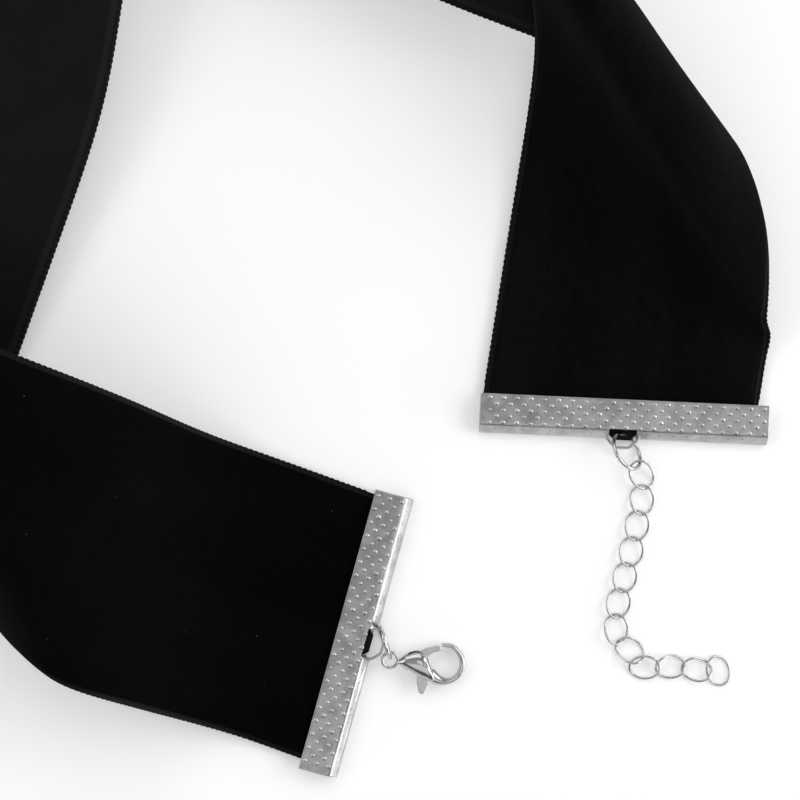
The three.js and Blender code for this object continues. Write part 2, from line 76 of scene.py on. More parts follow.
# x, y: middle of the clamp's mouth. heading: the way the ribbon leaves it, degrees from +X.
# shift: how far the ribbon sits off the clamp's middle. side: which hand the inner edge is on.
# folds: mm from the mouth, bend in degrees per mm, slant of the fold lines in degrees.
LEFT_END = dict(
    x=-8.9, y=-32.4, heading=160, shift=1.0, side=-1,
    folds=[
        dict(at=4, bend=0, slant=84),
        dict(at=15, bend=-4, slant=75),
        dict(at=30, bend=0, slant=75),
        dict(at=45, bend=3.5, slant=60),
        dict(at=60, bend=3.6, slant=43),
        dict(at=80, bend=2.4, slant=44),
        dict(at=100, bend=3.4, slant=42),
        dict(at=120, bend=0, slant=40),
    ],
)
RIGHT_END = dict(
    x=31.2, y=0.2, heading=81, shift=0.5, side=1,
    folds=[
        dict(at=3, bend=0, slant=95),
        dict(at=14, bend=-0.5, slant=70),
        dict(at=26, bend=-5, slant=50),
        dict(at=36, bend=-4, slant=39),
        dict(at=48, bend=12, slant=31),
        dict(at=60, bend=3.5, slant=40),
        dict(at=80, bend=1.7, slant=32),
        dict(at=100, bend=2.6, slant=25),
        dict(at=120, bend=0, slant=30),
    ],
)
# x, y: middle of the clamp's mouth. mouth: the way it faces. bail: the loop's offset along it.
LEFT_CLAMP = dict(x=-8.7, y=-31.7, mouth=164.5, bail=0.8)
RIGHT_CLAMP = dict(x=31.2, y=0.1, mouth=87.4, bail=0.1)

# x, y: middle of the link. heading: direction of its long axis, degrees from +X.
LINKS = [
    dict(x=33.6, y=-10.4, heading=-62),
    dict(x=33.7, y=-13.9, heading=-88),
    dict(x=33.0, y=-17.5, heading=-100),
    dict(x=32.2, y=-21.1, heading=-103),
    dict(x=31.3, y=-24.7, heading=-103),
    dict(x=30.4, y=-28.3, heading=-104),
    dict(x=30.1, y=-31.9, heading=-88),
    dict(x=32.0, y=-34.8, heading=-36),
    dict(x=34.0, y=-37.2, heading=-4),
    dict(x=37.6, y=-37.1, heading=2),
    dict(x=41.3, y=-37.5, heading=-12),
    dict(x=44.3, y=-37.7, heading=-75),
]
CHAIN_RING = dict(x=31.4, y=-7.1, z=2.4, radius=2.65, wire=0.55)
CLASP_RING = dict(x=-2.04, y=-33.45, z=2.56, radius=2.28, wire=0.55)
CLASP_PLACE = dict(x=3.35, y=-36.54, z=1.65, tail_up=8.0)
SLOT_FROM, SLOT_TO, SLOT_HIGH = -2.3, 1.15, 1.2
SLOT_REACH = 6.0  # the cutter runs right through the body
EYE = dict(x=-4.77, y=0.56, radius=1.06, wire=0.45)

# Sections of the clasp, tail to tip: x, y middle of the section, half width, half height.
BODY_SECTIONS = [
    dict(x=-3.95, y=0.27, half=0.24, high=0.3),
    dict(x=-3.4, y=0.27, half=0.5, high=0.6),
    dict(x=-2.65, y=0.31, half=1.08, high=0.95),
    dict(x=-1.53, y=0.16, half=1.72, high=1.22),
    dict(x=-0.56, y=-0.1, half=2.05, high=1.3),
    dict(x=0.1, y=-0.42, half=2.02, high=1.3),
    dict(x=0.49, y=-0.9, half=1.73, high=1.25),
    dict(x=0.98, y=-1.63, half=1.15, high=1.05),
    dict(x=1.5, y=-2.1, half=0.7, high=0.7),
]
HOOK_SECTIONS = [
    dict(x=0.77, y=-1.6, half=1.05, high=0.9),
    dict(x=2.02, y=-2.34, half=0.76, high=0.88),
    dict(x=3.42, y=-2.5, half=0.47, high=0.85),
    dict(x=4.68, y=-1.8, half=0.43, high=0.8),
    dict(x=5.33, y=-0.6, half=0.44, high=0.78),
    dict(x=5.25, y=0.72, half=0.42, high=0.76),
    dict(x=4.54, y=1.8, half=0.38, high=0.74),
    dict(x=3.77, y=2.37, half=0.36, high=0.7),
    dict(x=2.5, y=2.57, half=0.31, high=0.62),
]
LEVER_OUTLINE = [
    (-0.45, 1.85), (0.84, 2.3), (2.05, 2.45), (2.3, 2.1), (2.32, 1.8), (1.12, 1.5),
    (0.62, 1.0), (0.8, 0.3), (0.75, -0.4), (0.5, -1.4), (0.5, -2.7), (0.3, -3.2),
    (-0.1, -4.05), (-0.49, -4.18), (-0.8, -3.9), (-0.95, -3.2), (-1.05, -2.2),
    (-0.85, -1.0), (-0.9, 0.0), (-0.75, 0.9),
]
LEVER_THICK = 0.8

# Where the CAD laid the same plan: link 5 lies level, so the middle of its box is its middle.
link_low, link_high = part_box("chain_link_05")
clamp_low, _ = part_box("clamp_left")
SHIFT = np.array([
    (link_low.x + link_high.x) / 2 / MM - LINKS[4]["x"],
    (link_low.y + link_high.y) / 2 / MM - LINKS[4]["y"],
    clamp_low.z / MM,
])


# ---- mesh helpers ----
def flat_direction(degrees):
    return np.array([math.cos(math.radians(degrees)), math.sin(math.radians(degrees)), 0.0])


def turned(vector, axis, angle):
    """The vector turned about a unit axis."""
    along = axis * np.dot(axis, vector) * (1 - math.cos(angle))
    return vector * math.cos(angle) + np.cross(axis, vector) * math.sin(angle) + along


def make_object(name, points, faces, paints, face_paint=None, cloth=None):
    """A smooth-shaded mesh from points in plan millimetres. cloth gives each point's place on
    the flat ribbon, kept as a UV map in millimetres."""
    mesh = bpy.data.meshes.new(name)
    placed = (np.asarray(points, float) + SHIFT) * MM
    mesh.from_pydata(placed.tolist(), [], [list(face) for face in faces])
    for paint in paints:
        mesh.materials.append(paint)
    mesh.polygons.foreach_set("use_smooth", [True] * len(mesh.polygons))
    if face_paint is not None:
        mesh.polygons.foreach_set("material_index", list(face_paint))
    if cloth is not None:
        layer = mesh.uv_layers.new(name="cloth")
        corners = np.zeros(len(mesh.loops), np.int32)
        mesh.loops.foreach_get("vertex_index", corners)
        layer.data.foreach_set("uv", np.asarray(cloth, float)[corners].ravel())
    mesh.update()
    thing = bpy.data.objects.new(name, mesh)
    bpy.context.scene.collection.objects.link(thing)
    return thing


def grid_faces(columns, rows, start=0, wrap=False):
    """Quads of a grid of points, column after column. wrap joins the last row to the first."""
    i, j = np.meshgrid(np.arange(columns - 1), np.arange(rows if wrap else rows - 1), indexing="ij")
    i, j = i.ravel(), j.ravel()
    k = (j + 1) % rows
    corners = [i * rows + j, (i + 1) * rows + j, (i + 1) * rows + k, i * rows + k]
    return (np.stack(corners, 1) + start).tolist()


def smoothing(value, low, high):
    """0 below `low`, 1 above `high`, with no corner between."""
    t = np.clip((value - low) / (high - low), 0, 1)
    return t * t * t * (t * (6 * t - 15) + 10)


def curve_through(points, count, closed=False):
    """Evenly spread points on a Catmull-Rom curve through the rows of `points`."""
    points = np.asarray(points, float)
    if closed:
        padded = np.vstack([points[-1], points, points[0], points[1]])
        spans = len(points)
    else:
        padded = np.vstack([2 * points[0] - points[1], points, 2 * points[-1] - points[-2]])
        spans = len(points) - 1
    place = np.linspace(0, spans, count, endpoint=not closed)
    span = np.minimum(place.astype(int), spans - 1)
    t = (place - span)[:, None]
    a, b, c, d = (padded[span + k] for k in range(4))
    steady = 2 * b + (c - a) * t
    bend = (2 * a - 5 * b + 4 * c - d) * t * t + (3 * b - a - 3 * c + d) * t**3
    return (steady + bend) / 2


def modifier(thing, kind, **settings):
    made = thing.modifiers.new(kind.lower(), kind)
    for key, value in settings.items():
        setattr(made, key, value)
    return made


def apply_modifiers(thing):
    """Turns the object's modifiers into plain mesh."""
    graph = bpy.context.evaluated_depsgraph_get()
    done = bpy.data.meshes.new_from_object(thing.evaluated_get(graph))
    thing.modifiers.clear()
    thing.data = done
    return thing


# ---- ribbon shape ----
CHAIN_STEP = 1.0
CHAIN_REACH = 230.0
CLAMP_MID = 1.2


def fold_lines(end):
    """The ribbon's fold lines from one clamp: place along it, point on the centre line, the
    direction along, the direction across toward the inner edge, and the slope of the line."""
    folds = end["folds"]
    at_rows = [fold["at"] for fold in folds]
    bends = [fold["bend"] for fold in folds]
    slants = [fold["slant"] for fold in folds]
    side = end["side"]
    along = flat_direction(end["heading"])
    face = np.array([0.0, 0.0, 1.0])
    middle = np.array([end["x"], end["y"], CLAMP_MID])
    middle = middle + flat_direction(end["heading"] + side * 90) * end["shift"]
    first_slope = 1 / math.tan(math.radians(slants[0]))
    lines = []
    for at in np.arange(-BAND_TUCKED - CHAIN_STEP, 0, CHAIN_STEP):
        lines.append((at, middle + along * at, along, side * np.cross(face, along), first_slope))
    for at in np.arange(CHAIN_STEP / 2, CHAIN_REACH, CHAIN_STEP):
        bend = 0.0 if at > at_rows[-1] else np.interp(at, at_rows, bends)
        slant = math.radians(np.interp(at, at_rows, slants))
        middle = middle + along * (CHAIN_STEP / 2)
        axis = side * np.cross(face, along) * math.sin(slant) + along * math.cos(slant)
        turn = side * math.radians(bend) * CHAIN_STEP
        along, face = turned(along, axis, turn), turned(face, axis, turn)
        across = side * np.cross(face, along)
        lines.append((at, middle.copy(), along, across, 1 / math.tan(slant)))
        middle = middle + along * (CHAIN_STEP / 2)
    at, middles, alongs, acrosses, slopes = zip(*lines)
    return dict(at=np.array(at), middle=np.array(middles), along=np.array(alongs),
                across=np.array(acrosses), slope=np.array(slopes))


def points_on(lines, at, across):
    """Points of the ribbon at places `at` along the line that runs `across` mm off its centre."""
    slope = lines["slope"][:, None]
    ends = lines["middle"] + across * (lines["across"] + slope * lines["along"])
    place = lines["at"] + across * lines["slope"]
    return np.stack([np.interp(at, place, ends[:, k]) for k in range(3)], 1)


def band_middle(columns, across_rows):
    """The middle surface of the whole band, and where each point is on the flat ribbon."""
    left, right = fold_lines(LEFT_END), fold_lines(RIGHT_END)
    centre = np.linspace(-BAND_TUCKED, BAND_LENGTH + BAND_TUCKED, columns)

    def slope_at(lines, distance):
        near = np.interp(np.minimum(distance, SLANT_TO), lines["at"], lines["slope"])
        return near * (1 - np.clip((distance - SLANT_TO) / SQUARE_OVER, 0, 1))

    from_right = BAND_LENGTH - centre
    slope = np.where(centre < from_right, slope_at(left, centre), -slope_at(right, from_right))
    grid, places = [], []
    for across in across_rows:
        at = centre + across * slope
        share = smoothing(at, TURN_FROM, TURN_TO)[:, None]
        row = points_on(left, at, across) * (1 - share)
        row += points_on(right, BAND_LENGTH - at, across) * share
        inner = across / BAND_WIDTH + 0.5
        row[:, 2] += (BAND_LIFT * 4 * share * (1 - share) * inner)[:, 0]
        grid.append(row)
        places.append(np.stack([at, np.full_like(at, across)], 1))
    return np.stack(grid, 1), np.stack(places, 1), centre


def ease_back(grid, centre):
    """Evens out the small creases where the two runs of folds meet at the back."""
    begins = smoothing(centre, EASE_FROM, EASE_TO)
    ends = smoothing(centre, BAND_LENGTH - EASE_TO, BAND_LENGTH - EASE_FROM)
    weight = 0.5 * (begins * (1 - ends))[1:-1, None, None]
    for _ in range(EASE_ROUNDS):
        between = (grid[:-2] + grid[2:]) / 2
        grid[1:-1] += (between - grid[1:-1]) * weight
    return grid


def face_normals(grid):
    """Unit normals of the band's surface, on its pile side."""
    along = np.gradient(grid, axis=0)
    across = np.gradient(grid, axis=1)
    normal = np.cross(across, along)
    return normal / np.linalg.norm(normal, axis=2, keepdims=True)


def make_ribbon(velvet, satin, selvedge):
    """The ribbon, with its middle surface and the surface's normals."""
    edge = BAND_WIDTH / 2
    inside = np.linspace(-edge + 0.75, edge - 0.75, PILE_ROWS)
    rim = np.array([0.0, 0.12, 0.35, 0.58, 0.66])
    across_rows = np.concatenate([-edge + rim, inside, (edge - rim)[::-1]])
    grid, places, centre = band_middle(BAND_COLUMNS, across_rows)
    grid = ease_back(grid, centre)
    normal = face_normals(grid)
    at, across = places[..., 0], places[..., 1]
    # The pile stops short of the woven edge; the backing is a little thinner at its rim.
    pile = smoothing(edge - np.abs(across), 0.5, 0.78)
    rounded = 1 - 0.55 * (1 - smoothing(edge - np.abs(across), 0.0, 0.2))
    sway = np.sin(at * 0.31 + 1.3 * np.sin(at * 0.11)) * np.sin(across * 0.13 + at * 0.05)
    still = smoothing(at, 2, 12) * (1 - smoothing(at, BAND_LENGTH - 12, BAND_LENGTH - 2))
    moved = grid + normal * (CLOTH_SWAY * sway * still)[..., None]
    rise = (PILE_STANDS + EDGE_SINKS) * pile - EDGE_SINKS
    front = moved + normal * (rise * rounded)[..., None]
    back = moved - normal * (BACKING * rounded)[..., None]
    columns, rows = at.shape
    count = columns * rows
    points = np.concatenate([front.reshape(-1, 3), back.reshape(-1, 3)])
    upper = [face[::-1] for face in grid_faces(columns, rows)]
    lower = grid_faces(columns, rows, count)
    faces = upper + lower
    row_of = np.tile(np.arange(rows - 1), columns - 1)
    on_rim = (row_of < 4) | (row_of >= rows - 5)
    paint = list(np.where(on_rim, 2, 0)) + list(np.where(on_rim, 2, 1))
    ring = [i * rows for i in range(columns)]
    for a, b in zip(ring, ring[1:]):
        faces.append([a, b, b + count, a + count])
        faces.append([a + rows - 1, a + rows - 1 + count, b + rows - 1 + count, b + rows - 1])
        paint += [2, 2]
    for column in (0, columns - 1):
        start = column * rows
        for j in range(rows - 1):
            quad = [start + j, start + j + 1, start + j + 1 + count, start + j + count]
            faces.append(quad[::-1] if column == 0 else quad)
            paint.append(2)
    cloth = np.concatenate([places.reshape(-1, 2)] * 2)
    ribbon = make_object("ribbon_cloth", points, faces, [velvet, satin, selvedge], paint, cloth)
    return ribbon, moved, normal


def make_edge_loops(moved, normal, paint):
    """The tiny thread loops that bind each edge of the ribbon."""
    sides = 6
    points, faces = [], []
    for row in (0, -1):
        line = moved[:, row]
        run = np.concatenate([[0], np.cumsum(np.linalg.norm(np.diff(line, axis=0), axis=1))])
        places = np.arange(BAND_TUCKED + 1, run[-1] - BAND_TUCKED - 1, LOOP_PITCH)
        spots = np.stack([np.interp(places, run, line[:, k]) for k in range(3)], 1)
        ahead = np.stack([np.interp(places + 0.1, run, line[:, k]) for k in range(3)], 1) - spots
        ahead /= np.linalg.norm(ahead, axis=1, keepdims=True)
        up = np.stack([np.interp(places, run, normal[:, row, k]) for k in range(3)], 1)
        out = np.cross(ahead, up)
        out *= np.sign(np.sum(out[0] * (line[0] - moved[0, row - 3 if row < 0 else 3])))
        for spot, a, o, u in zip(spots, ahead, out, up):
            start = len(points)
            middle = spot + o * 0.02 - u * 0.22
            for level, reach in ((-0.9, 0.35), (0, 1.0), (0.9, 0.35)):
                for turn in range(sides):
                    angle = 2 * math.pi * turn / sides
                    side = o * math.cos(angle) + u * math.sin(angle)
                    points.append(middle + a * LOOP_HALF_LONG * level
                                  + side * LOOP_HALF_THICK * reach)
            for ring in range(2):
                for turn in range(sides):
                    p = start + ring * sides + turn
                    q = start + ring * sides + (turn + 1) % sides
                    faces.append([p, q, q + sides, p + sides])
            faces.append([start + k for k in range(sides)][::-1])
            faces.append([start + 2 * sides + k for k in range(sides)])
    return make_object("edge_loops", points, faces, [paint])


# ---- clamps ----
# Drawn with the mouth at x = 0 facing +X and the closed side at x = -width.
def to_plan(points, place):
    """From the clamp's own drawing to its place in the plan."""
    turn = math.radians(place["mouth"])
    points = np.asarray(points, float)
    x = points[:, 0] * math.cos(turn) - points[:, 1] * math.sin(turn) + place["x"]
    y = points[:, 0] * math.sin(turn) + points[:, 1] * math.cos(turn) + place["y"]
    return np.stack([x, y, points[:, 2]], 1)


def clamp_section():
    """The folded sheet's middle line from the lower lip round the closed side to the upper lip."""
    half = SHEET / 2
    corners = [
        (0.0, half, 0.0), (-CLAMP_WIDTH + half, half, 0.3),
        (-CLAMP_WIDTH + half, SPINE_HEIGHT, 0.3),
        (-CLAMP_WIDTH + BEVEL_WIDTH, CLAMP_HEIGHT - half, 0.35), (0.0, CLAMP_HEIGHT - half, 0.0),
    ]
    line = []
    for i, (x, z, radius) in enumerate(corners):
        here = np.array([x, z])
        if radius == 0:
            line.append(here)
            continue
        before = np.array(corners[i - 1][:2]) - here
        after = np.array(corners[i + 1][:2]) - here
        start = here + before / np.linalg.norm(before) * radius
        end = here + after / np.linalg.norm(after) * radius
        for t in np.linspace(0, 1, 6):
            line.append(start * (1 - t) ** 2 + here * 2 * t * (1 - t) + end * t * t)
    fine = [line[0]]
    for point in line[1:]:
        steps = max(1, int(np.linalg.norm(point - fine[-1]) / 0.35))
        from_point = fine[-1]
        fine += [from_point + (point - from_point) * k / steps for k in range(1, steps + 1)]
    return np.array(fine)


def dent(x, y, dents):
    """How far the sheet is pushed in or out by soft dents: x, y, width, depth."""
    return sum(d["deep"] * np.exp(-((x - d["x"]) ** 2 + (y - d["y"]) ** 2) / d["wide"] ** 2)
               for d in dents)


def round_corners(thing, width=CORNER_ROUND, segments=2):
    modifier(thing, "BEVEL", width=width * MM, segments=segments, limit_method="ANGLE",
             angle_limit=math.radians(50))


def make_clamp_sheet(name, place, dents, metal):
    """The folded sheet, softly dented on top, with its window left open."""
    section = clamp_section()
    columns = np.linspace(-CLAMP_LENGTH / 2, CLAMP_LENGTH / 2, 201)
    grid = np.zeros((len(columns), len(section), 3))
    grid[..., 0] = section[None, :, 0]
    grid[..., 1] = columns[:, None]
    grid[..., 2] = section[None, :, 1]
    upper = section[:, 1] > CLAMP_HEIGHT / 2
    pushed = dent(grid[..., 0], grid[..., 1], dents)
    grid[:, upper, 2] += pushed[:, upper]
    faces = grid_faces(len(columns), len(section))
    kept = []
    for face in faces:
        spot = grid.reshape(-1, 3)[face].mean(0)
        reach = WINDOW_IN_TOP if spot[2] > 0.6 else WINDOW_IN_BOTTOM
        in_window = abs(spot[1] - place["bail"]) < WINDOW / 2 and spot[0] < -CLAMP_WIDTH + reach
        if not in_window:
            kept.append(face)
    sheet = make_object(name, to_plan(grid.reshape(-1, 3), place), kept, [metal])
    modifier(sheet, "SOLIDIFY", thickness=SHEET * MM, offset=0.0, use_even_offset=True)
    round_corners(sheet)
    return sheet


def make_bail(name, place, metal):
    """The strap pushed out of the closed side, that the ring hangs on."""
    path = curve_through([
        (-4.75, 2.25), (-5.35, 2.22), (-5.85, 1.85), (-6.35, 1.35), (-6.68, 0.9), (-6.72, 0.0),
        (-6.68, -0.9), (-6.35, -1.35), (-5.85, -1.85), (-5.35, -2.22), (-4.75, -2.25),
    ], 41)
    heights = np.linspace(BAIL_LOW, BAIL_HIGH, 5)
    grid = np.zeros((len(path), len(heights), 3))
    grid[..., :2] = path[:, None]
    grid[..., 1] += place["bail"]
    grid[..., 2] = heights[None]
    strap = make_object(name, to_plan(grid.reshape(-1, 3), place),
                        grid_faces(len(path), len(heights)), [metal])
    modifier(strap, "SOLIDIFY", thickness=BAIL_STRAP * MM, offset=0.0)
    round_corners(strap)
    return strap


def make_dots(name, place, dents, metal):
    """The raised dots pressed in the sheet: staggered rows on each plate, one on the bevel."""
    profile = [(0.31, 0.0), (0.25, 0.03), (0.18, 0.08), (0.09, 0.108)]
    around = 12
    spots = []
    pitch, first_dot, end_margin, window_margin = DOT_PITCH, 0.7, 0.4, 0.4
    count = int(CLAMP_LENGTH / pitch)
    for row in range(DOT_ROWS):
        x = -0.55 - DOT_ROW_STEP * row
        stagger = pitch / 2 * (row % 2)
        for k in range(count + 1):
            y = -CLAMP_LENGTH / 2 + first_dot + stagger + pitch * k
            if abs(y) > CLAMP_LENGTH / 2 - end_margin:
                continue
            top = CLAMP_HEIGHT + float(dent(x, y, dents)) - 0.01
            spots.append(((x, y, top), (0.0, 0.0, 1.0)))
            if x > -4.2 or abs(y - place["bail"]) > WINDOW / 2 + window_margin:
                spots.append(((x, y, 0.16), (0.0, 0.0, -1.0)))
    lean = np.array([-0.75, 0.0, 0.66])
    lean /= np.linalg.norm(lean)
    for k in range(count + 1):
        y = -CLAMP_LENGTH / 2 + first_dot + pitch * (k + 0.5)
        clear_of_window = abs(y - place["bail"]) > WINDOW / 2 + window_margin
        if abs(y) < CLAMP_LENGTH / 2 - end_margin and clear_of_window:
            spots.append(((-CLAMP_WIDTH + 0.62, y, 1.7), tuple(lean)))
    points, faces = [], []
    for spot, up in spots:
        up = np.array(up)
        first = np.array([0.0, 1.0, 0.0])
        second = np.cross(up, first)
        start = len(points)
        size = 1 + 0.08 * rng.standard_normal()
        for reach, rise in profile:
            for turn in range(around):
                angle = 2 * math.pi * turn / around
                flat = first * math.cos(angle) + second * math.sin(angle)
                points.append(np.array(spot) + flat * reach * size + up * rise)
        points.append(np.array(spot) + up * DOT_HEIGHT)
        for ring in range(len(profile) - 1):
            for turn in range(around):
                p = start + ring * around + turn
                q = start + ring * around + (turn + 1) % around
                faces.append([p, q, q + around, p + around])
        tip = len(points) - 1
        last = start + (len(profile) - 1) * around
        for turn in range(around):
            faces.append([last + turn, last + (turn + 1) % around, tip])
    points = to_plan(points, place)
    return make_object(name, points, faces, [metal])


def make_ribbon_end(name, place, reach, paint):
    """The ribbon's raw end, which shows in the window of the clamp and runs out to `reach`."""
    points = []
    for high in (0.62, 1.2):
        for x, half in ((-3.4, 2.4), (reach + 0.8, 1.9), (reach, 1.2)):
            points += [(x, place["bail"] - half, high), (x, place["bail"] + half, high)]
    faces = []
    for k in (0, 2):
        faces.append([k, k + 2, k + 3, k + 1])
        faces.append([k + 6, k + 7, k + 9, k + 8])
        faces.append([k, k + 6, k + 8, k + 2])
        faces.append([k + 1, k + 3, k + 9, k + 7])
    faces += [[0, 1, 7, 6], [4, 10, 11, 5]]
    end = make_object(name, to_plan(points, place), faces, [paint])
    round_corners(end, 0.15, 3)
    return end


# ---- rings and links ----
def make_tube(name, line, radius, paint, closed=True, around=16):
    """A round wire along a line of points."""
    line = np.asarray(line, float)
    if closed:
        run = np.roll(line, -1, 0) - np.roll(line, 1, 0)
    else:
        run = np.gradient(line, axis=0)
    run /= np.linalg.norm(run, axis=1, keepdims=True)
    middle = line.mean(0)
    out = line - middle
    out -= run * np.sum(out * run, axis=1, keepdims=True)
    out /= np.linalg.norm(out, axis=1, keepdims=True)
    up = np.cross(run, out)
    angles = np.linspace(0, 2 * math.pi, around, endpoint=False)
    rings = line[:, None] + radius * (np.cos(angles)[None, :, None] * out[:, None]
                                      + np.sin(angles)[None, :, None] * up[:, None])
    if closed:
        rings = np.concatenate([rings, rings[:1]])
    columns = len(rings)
    faces = grid_faces(columns, around, wrap=True)
    if closed:
        total = len(line) * around
        faces = [[corner % total for corner in face] for face in faces]
        points = rings[:-1].reshape(-1, 3)
    else:
        points = rings.reshape(-1, 3)
        faces.append(list(range(around)))
        faces.append(list(range(len(points) - around, len(points)))[::-1])
    return make_object(name, points, faces, [paint])


def make_jump_ring(name, ring, long_way, low_way, cut_at, metal):
    """A round of wire with the fine cut where it was opened and closed again."""
    first = long_way / np.linalg.norm(long_way)
    second = low_way - first * np.dot(low_way, first)
    second /= np.linalg.norm(second)
    gap = 0.035 / ring["radius"]
    angles = np.radians(cut_at) + np.linspace(gap, 2 * math.pi - gap, 120)
    middle = np.array([ring["x"], ring["y"], ring["z"]])
    line = middle + ring["radius"] * (np.cos(angles)[:, None] * first
                                      + np.sin(angles)[:, None] * second)
    made = make_tube(name, line, ring["wire"] / 2, metal, closed=False, around=20)
    round_corners(made, 0.04)
    return made


def pose_shares(angle):
    """Shares of a link's pose in the height of its wire at an angle round it. A pose is the
    height of its middle, the rise of its far end, the rise of its right side and its twist."""
    return np.array([1.0, math.cos(angle), math.sin(angle), math.sin(2 * angle)])


def link_line(row, angles):
    """The link's wire seen from above: points in the plan at angles round it."""
    ahead = np.outer(LINK_HALF_LENGTH * np.cos(angles), flat_direction(row["heading"]))
    aside = np.outer(LINK_HALF_WIDTH * np.sin(angles), flat_direction(row["heading"] - 90))
    return ahead + aside + np.array([row["x"], row["y"], 0.0])


def wire_crossings(link, following):
    """The two places where neighbouring wires cross, as the angle round each, the one on the
    right hand first."""
    angles = 2 * math.pi * np.arange(CROSSING_STEPS + 1) / CROSSING_STEPS
    away = link_line(link, angles) - np.array([following["x"], following["y"], 0.0])
    far = away @ flat_direction(following["heading"]) / LINK_HALF_LENGTH
    right = away @ flat_direction(following["heading"] - 90) / LINK_HALF_WIDTH
    inside = np.hypot(far, right) < 1
    spots = np.flatnonzero(inside[1:] != inside[:-1])
    pairs = [(angles[k], math.atan2(right[k], far[k])) for k in spots]
    return sorted(pairs, key=lambda pair: -math.sin(pair[0]))


def lift_off_table(pose):
    """Tips a link up at its lowest place until its wire is clear of the table."""
    angles = [2 * math.pi * k / TABLE_STEPS for k in range(TABLE_STEPS)]
    heights = [pose @ pose_shares(angle) for angle in angles]
    lowest = pose_shares(angles[int(np.argmin(heights))])
    short = LINK_LOWEST - min(heights)
    if short > 0:
        pose += short * lowest / (lowest @ lowest)


def settled_poses():
    """The chain sinks onto the table, while every link is tilted until its wire clears its
    neighbour's: over it on the right hand and under it on the left."""
    resting = LINK_LOWEST + LINK_TWIST / 2
    poses = [np.array([resting, 0.0, 0.0, LINK_TWIST]) for _ in LINKS]
    poses[0][:2] = (LINK_HANGS + resting) / 2, (resting - LINK_HANGS) / 2
    crossings = [wire_crossings(*pair) for pair in zip(LINKS, LINKS[1:])]
    for turn in range(SETTLE_ROUNDS):
        for pose in poses[1:]:
            pose[0] -= 0.01 * (1 - turn / SETTLE_ROUNDS)
        for i, pair in enumerate(crossings):
            for over, (angle, other) in zip((1, -1), pair):
                own, others = pose_shares(angle), pose_shares(other)
                gap = over * (poses[i] @ own - poses[i + 1] @ others)
                if gap >= LINK_CLEAR:
                    continue
                if i == 0:
                    own = own * 0  # the first link hangs still
                push = over * (LINK_CLEAR - gap) / (own @ own + others @ others)
                poses[i] += push * own
                poses[i + 1] -= push * others
        for pose in poses:
            lift_off_table(pose)
    return poses


def make_link(name, row, pose, metal):
    """One link of twisted round wire."""
    angles = np.linspace(0, 2 * math.pi, 96, endpoint=False)
    line = link_line(row, angles)
    line[:, 2] = [pose @ pose_shares(angle) for angle in angles]
    return make_tube(name, line, LINK_WIRE / 2, metal, around=16)


# ---- clasp ----
def clasp_to_plan(points):
    """From the clasp's own drawing to the plan, with its tail lifted."""
    lean = math.radians(CLASP_PLACE["tail_up"])
    points = np.asarray(points, float)
    x = points[:, 0] * math.cos(lean) + points[:, 2] * math.sin(lean) + CLASP_PLACE["x"]
    z = -points[:, 0] * math.sin(lean) + points[:, 2] * math.cos(lean) + CLASP_PLACE["z"]
    return np.stack([x, points[:, 1] + CLASP_PLACE["y"], z], 1)


def swept_bar(sections, square, around=48, count=90):
    """Points and faces of a solid bar through oval sections, closed at both ends."""
    rows = curve_through([[s["x"], s["y"], s["half"], s["high"]] for s in sections], count)
    run = np.gradient(rows[:, :2], axis=0)
    run /= np.linalg.norm(run, axis=1, keepdims=True)
    across = np.tile([0.0, 1.0], (count, 1)) if square else np.stack([-run[:, 1], run[:, 0]], 1)
    angles = np.linspace(0, 2 * math.pi, around, endpoint=False)
    out = rows[:, 2:3] * np.cos(angles)
    points = np.zeros((count, around, 3))
    points[..., 0] = rows[:, 0:1] + across[:, 0:1] * out
    points[..., 1] = rows[:, 1:2] + across[:, 1:2] * out
    points[..., 2] = rows[:, 3:4] * np.sin(angles)
    faces = [face[::-1] for face in grid_faces(count, around, wrap=True)]
    faces.append(list(range(around)))
    faces.append(list(range((count - 1) * around, count * around))[::-1])
    return points.reshape(-1, 3), faces


def make_block(name, low, high, paint):
    """A plain box in the clasp's own place, used to cut the lever's slot."""
    corners = [(x, y, z) for x in (low[0], high[0]) for y in (low[1], high[1])
               for z in (low[2], high[2])]
    faces = [[0, 1, 3, 2], [4, 6, 7, 5], [0, 4, 5, 1], [2, 3, 7, 6], [0, 2, 6, 4], [1, 5, 7, 3]]
    return make_object(name, clasp_to_plan(corners), faces, [paint])


def make_clasp_part(name, sections, square, metal):
    """A bar of the clasp's body with the lever's slot cut through it."""
    points, faces = swept_bar(sections, square)
    part = make_object(name, clasp_to_plan(points), faces, [metal])
    slot = make_block(name + "_slot", (SLOT_FROM, -SLOT_REACH, -SLOT_HIGH / 2),
                      (SLOT_TO, SLOT_REACH, SLOT_HIGH / 2), metal)
    modifier(part, "BOOLEAN", operation="DIFFERENCE", object=slot, solver="EXACT")
    apply_modifiers(part)
    bpy.data.objects.remove(slot)
    part.data.polygons.foreach_set("use_smooth", [True] * len(part.data.polygons))
    part.data.set_sharp_from_angle(angle=math.radians(40))
    round_corners(part, 0.05)
    return part


def make_eye(metal):
    """The round eye at the clasp's tail."""
    angles = np.linspace(0, 2 * math.pi, 96, endpoint=False)
    line = np.stack([EYE["x"] + EYE["radius"] * np.cos(angles),
                     EYE["y"] + EYE["radius"] * np.sin(angles), np.zeros_like(angles)], 1)
    return make_tube("clasp_eye", clasp_to_plan(line), EYE["wire"] / 2, metal, around=20)


